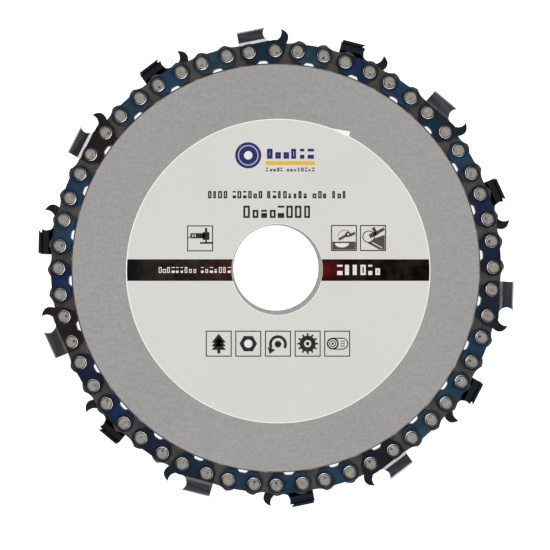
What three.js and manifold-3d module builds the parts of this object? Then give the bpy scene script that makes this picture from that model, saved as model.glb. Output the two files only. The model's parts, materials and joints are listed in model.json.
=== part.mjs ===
// Carving disc for an angle grinder: two thin steel plates with a spacer between them, and a
// closed loop of saw chain that runs round their rim with its drive tangs held between them.
//
// Millimetres. +Z is the disc's axis and points out of the labelled face. The origin is the
// centre of the bore, half way through the disc. Angles round the chain are counted clockwise
// from +Y, seen from the labelled face, which is the way the disc turns when it cuts.

import * as THREE from 'three';
import { mergeVertices } from 'three/addons/utils/BufferGeometryUtils.js';
import Module from 'manifold-3d';

const wasm = await Module();
wasm.setup();

// ---- driving dimensions -------------------------------------------------------------------

// plates, spacer and label
const BORE_RADIUS = 11.115;        // 22.23 mm arbor bore
const PLATE_RADIUS = 53.3;
const PLATE_THICKNESS = 1.2;
const PLATE_CHAMFER = 0.35;
const SPACER_RADIUS = 48.2;
const SPACER_THICKNESS = 1.4;
const LABEL_RADIUS = 39.7;
const LABEL_THICKNESS = 0.15;
const LABEL_CENTRE = [0.6, -0.83];       // the sticker sits a little off the disc's centre
const LABEL_HOLE_RADIUS = 11.78;
const LABEL_HOLE_CENTRE = [0.33, -0.42];

// chain: quarter-inch pitch, so two links take half an inch
const LINK_COUNT = 28;                   // outer links, and as many drive links
const PIN_STEP = 6.35;                   // mean chord between neighbouring rivets
const OUTER_PIN_SPACING = 6.85;          // between the two rivets of an outer link
const FIRST_OUTER_LINK = 9.29;           // degrees, clockwise from +Y
const PIN_CIRCLE = PIN_STEP / (2 * Math.sin(Math.PI / (2 * LINK_COUNT)));

// thicknesses across the chain, as heights above the middle plane
const DRIVE_HALF_THICKNESS = 0.64;
const STRAP_INNER = 0.7;
const STRAP_OUTER = 1.8;
const RIVET_HEAD_TOP = 2.25;

// rivets
const RIVET_SIDES = 8;
const HOLE_SIDES = 8;
const RIVET_HEAD_RADIUS = 1.74;          // where the head meets the side piece
const RIVET_CROWN_RADIUS = 1.35;
const RIVET_SHANK_RADIUS = 1.15;
const DRIVE_HOLE_RADIUS = 1.4;

// side straps and cutters, measured from the disc's centre along the link's own radius
const FOOT_Y = 53.5;                     // 0.2 mm clear of the plates' rim
const FOOT_HALF = 4.05;
const NOTCH_HALF = 1.3;
const NOTCH_TOP = 54.15;
const STRAP_HALF = 5.72;
const STRAP_TOP = 58.62;

// cutter head
const GULLET_CENTRE = [2.9, 61.35];
const GULLET_RADIUS = 2.4;
const GULLET_FLOOR = 59.3;
const HEAD_REAR_ANGLE = 5.84;            // degrees behind the link's middle, a straight radial edge
const HEAD_FRONT = 1.6;
const HEAD_SLOPE = 0.139;                // the top plate climbs towards its cutting edge
const TOP_PLATE_Y = 62.78;               // outside of the top plate, where x is 0
const TOP_PLATE_EDGE = -0.25;            // free edge, just past the middle plane
const HEAD_OUTER = 2.6;
const HEAD_WALL = 0.85;
const GAUGE_TIP = [5.2, 62.05];
const EDGE_BACKSET = 1.6;                // how far the cutting edge falls back across the top plate

// drive links
const DRIVE_LOBE = 2.9;
const DRIVE_SADDLE = 58.62;
const TANG_BOTTOM = 49.2;

// fineness of the round shapes
const DISC_SIDES = 64;
const CURVE_STEPS = 2;

const DEGREE = Math.PI / 180;
const STACK_TOP = SPACER_THICKNESS / 2 + PLATE_THICKNESS;
const REAR_SLANT = Math.tan(HEAD_REAR_ANGLE * DEGREE);

// ---- helpers ------------------------------------------------------------------------------

function solidOf(geometry) {
  const bare = geometry.clone();
  bare.deleteAttribute('normal');
  bare.deleteAttribute('uv');
  const merged = mergeVertices(bare, 1e-5);
  return new wasm.Manifold(new wasm.Mesh({
    numProp: 3,
    vertProperties: new Float32Array(merged.attributes.position.array),
    triVerts: new Uint32Array(merged.index.array),
  }));
}

function geometryOf(solid) {
  const mesh = solid.getMesh();
  const geometry = new THREE.BufferGeometry();
  geometry.setAttribute('position', new THREE.BufferAttribute(mesh.vertProperties, 3));
  geometry.setIndex(new THREE.BufferAttribute(mesh.triVerts, 1));
  geometry.computeVertexNormals();
  return geometry;
}

// a flat outline made solid between two heights
function prism(shape, low, high) {
  const geometry = new THREE.ExtrudeGeometry(shape, {
    depth: high - low,
    bevelEnabled: false,
    curveSegments: CURVE_STEPS,
  });
  return geometry.translate(0, 0, low);
}

// a profile of [radius, height] points turned about +Z
function turned(profile, sides) {
  const points = profile.map(([radius, height]) => new THREE.Vector2(radius, height));
  return new THREE.LatheGeometry(points, sides).rotateX(Math.PI / 2);
}

function polygonPath(x, y, radius, sides) {
  const path = new THREE.Path();
  for (let i = 0; i < sides; i += 1) {
    const angle = (2 * Math.PI * (i + 0.5)) / sides;
    const point = [x + radius * Math.cos(angle), y + radius * Math.sin(angle)];
    if (i === 0) path.moveTo(...point);
    else path.lineTo(...point);
  }
  path.closePath();
  return path;
}

// the same solid on the other side of the middle plane
function mirroredInZ(geometry) {
  const flipped = geometry.clone().scale(1, 1, -1);
  const index = flipped.index.array;
  for (let i = 0; i < index.length; i += 3) {
    [index[i], index[i + 1]] = [index[i + 1], index[i]];
  }
  flipped.computeVertexNormals();
  return flipped;
}

function named(name, geometry, color, roughness, metalness) {
  const material = new THREE.MeshStandardMaterial({ color, roughness, metalness });
  const mesh = new THREE.Mesh(geometry, material);
  mesh.name = name;
  return mesh;
}

// half the angle that a chord between two pins takes up on the pin circle
function halfAngle(chord) {
  return Math.asin(chord / 2 / PIN_CIRCLE);
}

// ---- plates, spacer and label -------------------------------------------------------------

const plateLow = SPACER_THICKNESS / 2;
const plateProfile = [
  [BORE_RADIUS, plateLow],
  [PLATE_RADIUS, plateLow],
  [PLATE_RADIUS, STACK_TOP - PLATE_CHAMFER],
  [PLATE_RADIUS - PLATE_CHAMFER, STACK_TOP],
  [BORE_RADIUS, STACK_TOP],
  [BORE_RADIUS, plateLow],
];

function spacer() {
  return turned([
    [BORE_RADIUS, -plateLow],
    [SPACER_RADIUS, -plateLow],
    [SPACER_RADIUS, plateLow],
    [BORE_RADIUS, plateLow],
    [BORE_RADIUS, -plateLow],
  ], DISC_SIDES);
}

function label() {
  const shape = new THREE.Shape(polygonPath(...LABEL_CENTRE, LABEL_RADIUS, DISC_SIDES).getPoints());
  shape.holes.push(polygonPath(...LABEL_HOLE_CENTRE, LABEL_HOLE_RADIUS, 40));
  return prism(shape, STACK_TOP, STACK_TOP + LABEL_THICKNESS);
}

// ---- chain pieces -------------------------------------------------------------------------

// In every outline below x runs clockwise along the link and y outwards from the disc's centre.

// the two feet and the notch between them, drawn from the rear foot to the front foot
function traceFeet(shape) {
  shape.lineTo(-FOOT_HALF, FOOT_Y);
  shape.lineTo(-NOTCH_HALF, FOOT_Y);
  shape.bezierCurveTo(-NOTCH_HALF + 0.3, NOTCH_TOP, -0.8, NOTCH_TOP, 0, NOTCH_TOP);
  shape.bezierCurveTo(0.8, NOTCH_TOP, NOTCH_HALF - 0.3, NOTCH_TOP, NOTCH_HALF, FOOT_Y);
  shape.lineTo(FOOT_HALF, FOOT_Y);
}

function strapShape() {
  const shape = new THREE.Shape();
  shape.moveTo(-STRAP_HALF + 0.1, 55.5);
  traceFeet(shape);
  shape.lineTo(STRAP_HALF - 0.1, 55.5);
  shape.bezierCurveTo(STRAP_HALF + 0.15, 57.2, STRAP_HALF - 0.5, STRAP_TOP, 4.1, STRAP_TOP);
  shape.lineTo(-4.1, STRAP_TOP);
  shape.bezierCurveTo(-STRAP_HALF + 0.5, STRAP_TOP, -STRAP_HALF - 0.15, 57.2, -STRAP_HALF + 0.1, 55.5);
  return shape;
}

// flat part of a cutter: feet, body up to the bend, gullet floor and depth gauge
function cutterPlateShape() {
  const rear = -58.2 * REAR_SLANT;
  const floorHalf = Math.sqrt(GULLET_RADIUS ** 2 - (GULLET_CENTRE[1] - GULLET_FLOOR) ** 2);
  const [centreX, centreY] = GULLET_CENTRE;
  const floorAngle = Math.acos(floorHalf / GULLET_RADIUS);
  const tipAngle = Math.atan2(GAUGE_TIP[1] - centreY, GAUGE_TIP[0] - centreX);
  const shape = new THREE.Shape();
  shape.moveTo(-STRAP_HALF + 0.1, 55.5);
  traceFeet(shape);
  shape.lineTo(STRAP_HALF - 0.05, 55.6);
  shape.lineTo(6.45, 58.3);
  shape.bezierCurveTo(7.1, 59.2, 7.25, 60.1, 6.75, 60.9);
  shape.quadraticCurveTo(6.2, 61.65, ...GAUGE_TIP);
  shape.absarc(centreX, centreY, GULLET_RADIUS, tipAngle, -floorAngle, true);
  shape.lineTo(centreX - floorHalf, GULLET_FLOOR);
  shape.lineTo(0.9, 59.1);
  shape.lineTo(rear, 59 + HEAD_SLOPE * rear);
  shape.lineTo(-STRAP_HALF + 0.1, 55.5);
  return shape;
}

// bent head of a cutter, a folded strip that flares outwards and then turns in over the chain
function cutterHead() {
  const innerWall = HEAD_OUTER - HEAD_WALL;
  const underside = TOP_PLATE_Y - 0.78;
  const section = new THREE.Shape([
    [STRAP_INNER, 58.6], [STRAP_OUTER, 58.6], [STRAP_OUTER, 59.0], [HEAD_OUTER, 59.9],
    [HEAD_OUTER, TOP_PLATE_Y - 0.6], [HEAD_OUTER - 0.45, TOP_PLATE_Y],
    [TOP_PLATE_EDGE, TOP_PLATE_Y], [TOP_PLATE_EDGE, underside],
    [innerWall - 0.35, underside], [innerWall, underside - 0.4],
    [innerWall, 60.2], [STRAP_INNER, 59.1],
  ].map(([z, y]) => new THREE.Vector2(-z, y)));
  const strip = prism(section, -7, HEAD_FRONT);
  strip.rotateY(Math.PI / 2);
  strip.applyMatrix4(new THREE.Matrix4().makeShear(HEAD_SLOPE, 0, 0, 0, 0, 0));
  const behind = new THREE.Shape([
    [-57 * REAR_SLANT, 57], [-64 * REAR_SLANT, 64], [-9, 64], [-9, 57],
  ].map(([x, y]) => new THREE.Vector2(x, y)));

  const [centreX, centreY] = GULLET_CENTRE;
  const gullet = turned([[0, -4], [GULLET_RADIUS, -4], [GULLET_RADIUS, 4], [0, 4]], 20);
  gullet.translate(centreX, centreY, 0);

  // the cutting edge of the top plate falls back towards its free edge
  const backset = new THREE.Shape([
    [1.1, -HEAD_OUTER], [1.1 - EDGE_BACKSET, -TOP_PLATE_EDGE], [1.1 - EDGE_BACKSET, 2],
    [3, 2], [3, -HEAD_OUTER],
  ].map(([x, z]) => new THREE.Vector2(x, z)));
  const wedge = prism(backset, 61.85, 64).rotateX(-Math.PI / 2);
  return [gullet, wedge, prism(behind, -4, 4)]
    .reduce((head, cut) => head.subtract(solidOf(cut)), solidOf(strip));
}

function rivet(x, y) {
  const flare = (RIVET_HEAD_RADIUS - RIVET_CROWN_RADIUS) / (RIVET_HEAD_TOP - STRAP_OUTER);
  const sunk = 0.3;                      // the head's cone runs on into the side piece
  const half = [
    [0, RIVET_HEAD_TOP],
    [RIVET_CROWN_RADIUS, RIVET_HEAD_TOP],
    [RIVET_HEAD_RADIUS + flare * sunk, STRAP_OUTER - sunk],
    [RIVET_SHANK_RADIUS, STRAP_OUTER - sunk],
  ];
  const lower = half.map(([radius, height]) => [radius, -height]);
  return turned([...lower, ...half.reverse()], RIVET_SIDES).translate(x, y, 0);
}

// two side pieces held apart by the two rivets that are spun over them
function rivetedLink(frontPiece) {
  const turn = halfAngle(OUTER_PIN_SPACING);
  const pinX = PIN_CIRCLE * Math.sin(turn);
  const pinY = PIN_CIRCLE * Math.cos(turn);
  const backStrap = solidOf(prism(strapShape(), -STRAP_OUTER, -STRAP_INNER));
  return frontPiece
    .add(backStrap)
    .add(solidOf(rivet(-pinX, pinY)))
    .add(solidOf(rivet(pinX, pinY)));
}

function tieLink() {
  return geometryOf(rivetedLink(solidOf(prism(strapShape(), STRAP_INNER, STRAP_OUTER))));
}

function cutterLink() {
  const plate = solidOf(prism(cutterPlateShape(), STRAP_INNER, STRAP_OUTER));
  return geometryOf(rivetedLink(plate.add(cutterHead())));
}

function driveLink() {
  const turn = Math.PI / LINK_COUNT - halfAngle(OUTER_PIN_SPACING);
  const pinX = PIN_CIRCLE * Math.sin(turn);
  const pinY = PIN_CIRCLE * Math.cos(turn);
  const shape = new THREE.Shape();
  shape.moveTo(-0.5, DRIVE_SADDLE);
  shape.quadraticCurveTo(-1.7, DRIVE_SADDLE, -pinX, pinY + DRIVE_LOBE);
  shape.absarc(-pinX, pinY, DRIVE_LOBE, Math.PI / 2, 1.24 * Math.PI, false);
  shape.lineTo(-4.1, 53.2);
  shape.lineTo(-2.9, 50.6);
  shape.quadraticCurveTo(-1.9, TANG_BOTTOM, 0.4, TANG_BOTTOM);
  shape.quadraticCurveTo(2.6, TANG_BOTTOM, 3.6, 51.2);
  shape.lineTo(4.1, 53.2);
  shape.absarc(pinX, pinY, DRIVE_LOBE, -0.24 * Math.PI, Math.PI / 2, false);
  shape.quadraticCurveTo(1.7, DRIVE_SADDLE, 0.5, DRIVE_SADDLE);
  shape.closePath();
  shape.holes.push(polygonPath(-pinX, pinY, DRIVE_HOLE_RADIUS, HOLE_SIDES));
  shape.holes.push(polygonPath(pinX, pinY, DRIVE_HOLE_RADIUS, HOLE_SIDES));
  return prism(shape, -DRIVE_HALF_THICKNESS, DRIVE_HALF_THICKNESS);
}

// ---- assembly -----------------------------------------------------------------------------

const disc = new THREE.Group();
const plate = turned(plateProfile, DISC_SIDES);
disc.add(named('front_plate', plate, 0xa3a09e, 0.45, 0.9));
disc.add(named('back_plate', mirroredInZ(plate), 0xa3a09e, 0.45, 0.9));
disc.add(named('spacer_disc', spacer(), 0x8c8a88, 0.5, 0.9));
disc.add(named('label', label(), 0xdddcd7, 0.8, 0));

// outer links follow each other round the loop in this order
const frontCutter = cutterLink();
const LINK_ORDER = [
  { name: 'tie_link', geometry: tieLink(), color: 0x1c3550 },
  { name: 'back_cutter_link', geometry: mirroredInZ(frontCutter), color: 0x23232d },
  { name: 'tie_link', geometry: tieLink(), color: 0x1c3550 },
  { name: 'front_cutter_link', geometry: frontCutter, color: 0x23232d },
];

const chain = new THREE.Group();
const counts = {};
const linkStep = 360 / LINK_COUNT;
const driveGeometry = driveLink();
for (let i = 0; i < LINK_COUNT; i += 1) {
  const { name, geometry, color } = LINK_ORDER[i % LINK_ORDER.length];
  counts[name] = (counts[name] ?? 0) + 1;
  const outer = named(`${name}_${String(counts[name]).padStart(2, '0')}`, geometry, color, 0.4, 0.8);
  outer.rotation.z = -(FIRST_OUTER_LINK + i * linkStep) * DEGREE;
  const drive = named(`drive_link_${String(i + 1).padStart(2, '0')}`, driveGeometry, 0x50463c, 0.5, 0.8);
  drive.rotation.z = -(FIRST_OUTER_LINK + (i + 0.5) * linkStep) * DEGREE;
  chain.add(outer, drive);
}

const carvingDisc = new THREE.Group();
carvingDisc.add(disc, chain);

export default carvingDisc;
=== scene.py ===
"""Looks of an angle grinder carving disc: two steel plates with a loop of saw chain round their rim.

Lengths below are millimetres unless a name says otherwise; meshes are made in metres. A link's own
axes are x clockwise along the chain, y outwards from the disc's centre and z out of the label.
"""
import json
import math
import random

import bmesh
import bpy
from mathutils import Matrix, Vector
from mathutils.geometry import tessellate_polygon

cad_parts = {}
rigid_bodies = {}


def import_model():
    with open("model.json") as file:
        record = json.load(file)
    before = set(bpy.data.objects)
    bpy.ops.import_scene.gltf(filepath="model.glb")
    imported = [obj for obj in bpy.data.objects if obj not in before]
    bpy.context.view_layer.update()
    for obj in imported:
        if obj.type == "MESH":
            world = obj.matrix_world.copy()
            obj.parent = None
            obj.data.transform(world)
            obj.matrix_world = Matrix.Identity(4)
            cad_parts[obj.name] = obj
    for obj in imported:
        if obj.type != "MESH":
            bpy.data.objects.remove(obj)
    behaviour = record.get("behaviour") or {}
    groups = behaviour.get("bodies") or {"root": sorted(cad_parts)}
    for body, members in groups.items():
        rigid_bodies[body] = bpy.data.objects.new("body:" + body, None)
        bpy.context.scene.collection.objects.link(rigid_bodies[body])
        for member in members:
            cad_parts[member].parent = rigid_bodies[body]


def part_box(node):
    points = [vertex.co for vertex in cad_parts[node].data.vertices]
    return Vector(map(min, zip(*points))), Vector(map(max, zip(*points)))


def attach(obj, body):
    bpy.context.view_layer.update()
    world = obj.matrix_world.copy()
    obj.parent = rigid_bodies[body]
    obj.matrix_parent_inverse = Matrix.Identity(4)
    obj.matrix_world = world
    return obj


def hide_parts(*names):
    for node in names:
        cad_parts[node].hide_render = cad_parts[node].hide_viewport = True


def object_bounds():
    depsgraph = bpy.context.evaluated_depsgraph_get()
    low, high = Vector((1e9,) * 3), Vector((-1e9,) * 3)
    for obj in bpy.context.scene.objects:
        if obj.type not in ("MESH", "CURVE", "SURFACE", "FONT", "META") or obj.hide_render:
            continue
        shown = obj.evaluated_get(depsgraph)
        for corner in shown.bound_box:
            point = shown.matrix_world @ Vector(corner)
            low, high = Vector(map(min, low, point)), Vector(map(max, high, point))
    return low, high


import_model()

cad_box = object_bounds()
scene = bpy.context.scene
dice = random.Random(7)
print_dice = random.Random(5)
MM = 0.001

# ---- sizes read from the frame ---------------------------------------------------------------

plate_low, plate_high = (corner.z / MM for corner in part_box("front_plate"))
PLATE_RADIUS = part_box("front_plate")[1].x / MM
SPACER_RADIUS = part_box("spacer_disc")[1].x / MM
LABEL_LOW, LABEL_HIGH = (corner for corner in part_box("label"))
LABEL_CENTRE = ((LABEL_LOW.x + LABEL_HIGH.x) / 2 / MM, (LABEL_LOW.y + LABEL_HIGH.y) / 2 / MM)
LABEL_RADIUS = (LABEL_HIGH.x - LABEL_LOW.x) / 2 / MM
LABEL_TOP = LABEL_HIGH.z / MM
RIVET_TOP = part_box("tie_link_01")[1].z / MM
DRIVE_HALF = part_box("drive_link_01")[1].z / MM
HEAD_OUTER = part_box("front_cutter_link_01")[1].z / MM

# ---- sizes shared with the CAD model -----------------------------------------------------------

BORE_RADIUS = 11.115
PLATE_CHAMFER = 0.35
LABEL_HOLE_RADIUS = 11.78
LABEL_HOLE_CENTRE = (0.33, -0.42)
LINKS = 28
PIN_CIRCLE = 6.35 / (2 * math.sin(math.pi / (2 * LINKS)))
OUTER_HALF_ANGLE = math.asin(6.85 / 2 / PIN_CIRCLE)
DRIVE_HALF_ANGLE = math.pi / LINKS - OUTER_HALF_ANGLE
FIRST_LINK = (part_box("tie_link_01")[0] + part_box("tie_link_01")[1]) / 2
FIRST_LINK_TURN = math.atan2(FIRST_LINK.x, FIRST_LINK.y)
STRAP_INNER, STRAP_OUTER = 0.7, 1.8
FOOT_Y, FOOT_HALF = 53.5, 4.05
NOTCH_HALF, NOTCH_TOP = 1.3, 54.15
STRAP_HALF, STRAP_TOP = 5.72, 58.62
SHANK_RADIUS = 1.15
DRIVE_HOLE, DRIVE_LOBE, DRIVE_SADDLE, TANG_BOTTOM = 1.3, 2.9, 58.62, 49.2
GULLET_CENTRE, GULLET_RADIUS, GULLET_FLOOR = (2.9, 61.35), 2.4, 59.3
GAUGE_TIP = (5.2, 62.05)
REAR_SLANT = math.tan(math.radians(5.84))
HEAD_SLOPE, TOP_PLATE_Y, TOP_PLATE_EDGE = 0.139, 62.68, -0.25


# ---- outlines ----------------------------------------------------------------------------------


def bezier(p0, p1, p2, p3, steps=8):
    """Points along a cubic curve, its start left out."""
    points = []
    for i in range(1, steps + 1):
        t = i / steps
        u = 1 - t
        weights = (u * u * u, 3 * u * u * t, 3 * u * t * t, t * t * t)
        points.append(tuple(sum(w * p[k] for w, p in zip(weights, (p0, p1, p2, p3))) for k in (0, 1)))
    return points


def quadratic(p0, p1, p2, steps=8):
    first = tuple(p0[k] + (p1[k] - p0[k]) * 2 / 3 for k in (0, 1))
    second = tuple(p2[k] + (p1[k] - p2[k]) * 2 / 3 for k in (0, 1))
    return bezier(p0, first, second, p2, steps)


def arc(centre, radius, start, end, steps):
    """Points on a circle from angle start to angle end, in degrees, both included."""
    angles = [math.radians(start + (end - start) * i / steps) for i in range(steps + 1)]
    return [(centre[0] + radius * math.cos(a), centre[1] + radius * math.sin(a)) for a in angles]


def circle(centre, radius, steps):
    return arc(centre, radius, 0, 360, steps)[:-1]


def feet():
    """The lower edge of a side piece, from the rear foot to the front foot, with the notch between."""
    points = [(-FOOT_HALF, FOOT_Y), (-NOTCH_HALF, FOOT_Y)]
    points += bezier(points[-1], (-NOTCH_HALF + 0.3, NOTCH_TOP), (-0.8, NOTCH_TOP), (0, NOTCH_TOP), 6)
    points += [(-x, y) for x, y in reversed(points[1:-1])]
    return points + [(FOOT_HALF, FOOT_Y)]


def rounded(points, radius, steps=3):
    """The same closed outline with its corners rounded, where there is room for that."""
    result = []
    count = len(points)
    for i in range(count):
        before, corner, after = (Vector(points[(i + k) % count]) for k in (-1, 0, 1))
        back, on = before - corner, after - corner
        reach = min(radius, back.length * 0.45, on.length * 0.45)
        start, end = corner + back.normalized() * reach, corner + on.normalized() * reach
        if back.angle(on) > math.radians(165):
            result.append(tuple(corner))
        else:
            result += [tuple(start)] + quadratic(start, corner, end, steps)
    return result


def strap_outline():
    low = (STRAP_HALF - 0.1, 55.5)
    corner = bezier(low, (STRAP_HALF + 0.15, 57.2), (STRAP_HALF - 0.5, STRAP_TOP), (4.1, STRAP_TOP), 10)
    right = [low] + corner
    return rounded(feet() + right + [(-x, y) for x, y in reversed(right)], 0.3)


def drive_outline():
    """Two lobes round the rivets, a saddle between them and a tang below."""
    pin_x, pin_y = PIN_CIRCLE * math.sin(DRIVE_HALF_ANGLE), PIN_CIRCLE * math.cos(DRIVE_HALF_ANGLE)
    lobe = arc((pin_x, pin_y), DRIVE_LOBE, 90, -43, 16)
    rise = quadratic((0.5, DRIVE_SADDLE), (1.7, DRIVE_SADDLE), lobe[0], 8)
    right = [(0.5, DRIVE_SADDLE)] + rise[:-1] + lobe + [(4.1, 53.2), (3.6, 51.2)]
    front_toe = quadratic((3.6, 51.2), (2.6, TANG_BOTTOM), (0.4, TANG_BOTTOM), 6)
    rear_toe = quadratic((0.4, TANG_BOTTOM), (-1.9, TANG_BOTTOM), (-2.9, 50.6), 6)
    left = [(-x, y) for x, y in reversed(right[:-1])]
    return right + front_toe + rear_toe + left


def pins(half_angle):
    x, y = PIN_CIRCLE * math.sin(half_angle), PIN_CIRCLE * math.cos(half_angle)
    return (-x, y), (x, y)


# ---- mesh making -------------------------------------------------------------------------------


def area(loop):
    return sum(a[0] * b[1] - b[0] * a[1] for a, b in zip(loop, loop[1:] + loop[:1])) / 2


def inset(loop, distance):
    """The loop moved to its left by distance, which is inwards for a loop that runs anticlockwise."""
    count = len(loop)
    moved = []
    for i in range(count):
        before, here, after = (Vector(loop[(i + k) % count]) for k in (-1, 0, 1))
        a, b = (here - before).normalized(), (after - here).normalized()
        left = Vector((-a.y - b.y, a.x + b.x)).normalized()
        stretch = min(1.6, 1 / max(0.3, left.dot(Vector((-a.y, a.x)))))
        moved.append(tuple(here + left * distance * stretch))
    return moved


def solid(loops, low, high, edge=0.0, rows=3, into=None):
    """bmesh of a flat solid between two heights, with its edges rounded by edge. The first loop is the
    outside and the others are holes. It is added to the bmesh that into names, if any."""
    loops = [loop if (area(loop) > 0) == (k == 0) else loop[::-1] for k, loop in enumerate(loops)]
    if edge:
        turns = [math.radians(90 * i / rows) for i in range(rows + 1)]
        lower = [(edge * (1 - math.sin(a)), low + edge * (1 - math.cos(a))) for a in turns]
        levels = lower + [(shift, high + low - height) for shift, height in reversed(lower)]
    else:
        levels = [(0, low), (0, high)]
    bm = into or bmesh.new()
    rings = []
    for shift, height in levels:
        rings.append([
            [bm.verts.new((x * MM, y * MM, height * MM)) for x, y in (inset(loop, shift) if shift else loop)]
            for loop in loops
        ])
    for lower_ring, upper_ring in zip(rings, rings[1:]):
        for a, b in zip(lower_ring, upper_ring):
            for i in range(len(a)):
                j = (i + 1) % len(a)
                bm.faces.new((a[i], a[j], b[j], b[i]))
    triangles = tessellate_polygon([[Vector((v.co.x, v.co.y, 0)) for v in ring] for ring in rings[0]])
    for ring_set, up in ((rings[0], False), (rings[-1], True)):
        flat = [v for ring in ring_set for v in ring]
        for triangle in triangles:
            corners = [flat[i].co for i in triangle]
            faces_up = (corners[1] - corners[0]).cross(corners[2] - corners[0]).z > 0
            order = triangle if faces_up == up else triangle[::-1]
            bm.faces.new([flat[i] for i in order])
    return bm


def turned(profile, steps):
    """bmesh of a closed profile of (radius, height) points turned about the z axis."""
    bm = bmesh.new()
    rings = []
    for radius, height in profile:
        rings.append([
            bm.verts.new((radius * MM * math.cos(a), radius * MM * math.sin(a), height * MM))
            for a in (2 * math.pi * i / steps for i in range(steps))
        ])
    for a, b in zip(rings, rings[1:] + rings[:1]):
        for i in range(steps):
            j = (i + 1) % steps
            bm.faces.new((a[i], a[j], b[j], b[i]))
    return bm


def mesh_of(name, bm, smooth_angle=35):
    """Finished mesh with outward normals, smooth except across sharp corners."""
    bmesh.ops.recalc_face_normals(bm, faces=bm.faces)
    mesh = bpy.data.meshes.new(name)
    bm.to_mesh(mesh)
    bm.free()
    mesh.shade_smooth()
    mesh.set_sharp_from_angle(angle=math.radians(smooth_angle))
    return mesh


def evaluated(mesh, modifiers):
    """The mesh after modifiers, each a (type, settings) pair."""
    holder = bpy.data.objects.new("holder", mesh)
    scene.collection.objects.link(holder)
    for kind, settings in modifiers:
        modifier = holder.modifiers.new(kind, kind)
        for key, value in settings.items():
            setattr(modifier, key, value)
    depsgraph = bpy.context.evaluated_depsgraph_get()
    result = bpy.data.meshes.new_from_object(holder.evaluated_get(depsgraph))
    bpy.data.objects.remove(holder)
    result.name = mesh.name
    return result


def weighted(mesh):
    """Normals that follow the large faces, so that flats stay flat beside rounded edges."""
    return evaluated(mesh, [("WEIGHTED_NORMAL", {"keep_sharp": True, "weight": 80})])


def piece(name, mesh, body, nodes=(), turn=0.0, at=(0, 0)):
    """A shown piece with its own copy of a mesh. at is its place and turn its angle clockwise from +Y.
    The attribute own_place keeps each point's place before that, moved by chance from piece to piece,
    so that a grain follows the piece and no two pieces look alike."""
    own = mesh.copy()
    own.name = name
    chance = Vector([dice.uniform(0, 1) for _ in range(3)])
    places = own.attributes.new("own_place", "FLOAT_VECTOR", "POINT")
    places.data.foreach_set("vector", [c for v in own.vertices for c in v.co + chance])
    own.transform(Matrix.Rotation(-turn, 4, "Z") @ Matrix.Translation((at[0] * MM, at[1] * MM, 0)))
    thing = bpy.data.objects.new(name, own)
    scene.collection.objects.link(thing)
    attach(thing, body)
    if nodes:
        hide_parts(*nodes)
    return thing


# ---- materials ---------------------------------------------------------------------------------


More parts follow.
